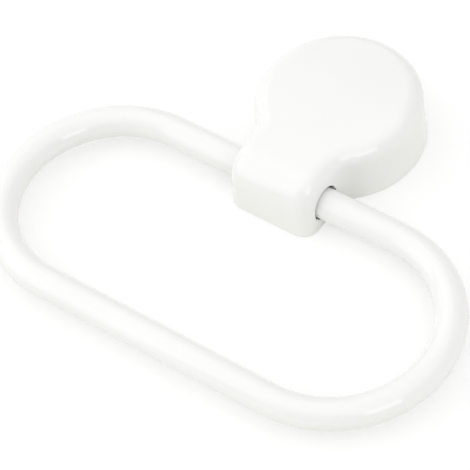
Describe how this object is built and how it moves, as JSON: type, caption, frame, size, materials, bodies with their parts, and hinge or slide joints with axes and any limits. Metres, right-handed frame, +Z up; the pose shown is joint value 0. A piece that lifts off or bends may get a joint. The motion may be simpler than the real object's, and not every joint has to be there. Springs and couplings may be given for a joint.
{
  "type": "towel ring",
  "caption": "Towel ring in white plastic: a closed oval of round bar swings in the square lug of a deep round wall housing, which clips over a hidden screw-on plate.",
  "frame": {"origin": "axis of the round head on the wall plane, midway between the holes for the wall screws", "axes": "+X to the right along the wall, +Z up the wall, +Y into the wall; the front faces -Y"},
  "size_m": [0.194, 0.024, 0.1572],
  "materials": {
    "housing_plastic": "glossy white moulded plastic",
    "ring_plastic": "glossy white moulded plastic",
    "plate_plastic": "white moulded plastic, satin where hidden and glossy on the tabs that show"
  },
  "bodies": {
    "bracket": {"housing": "housing_plastic", "wall_plate": "plate_plastic"},
    "ring": {"ring": "ring_plastic"}
  },
  "joints": [
    {"name": "ring_swing", "type": "hinge", "parent": "bracket", "child": "ring", "pos_m": [0, -0.0088, -0.037], "axis": [-1, 0, 0], "range_deg": [-1.9, 181.9]}
  ]
}
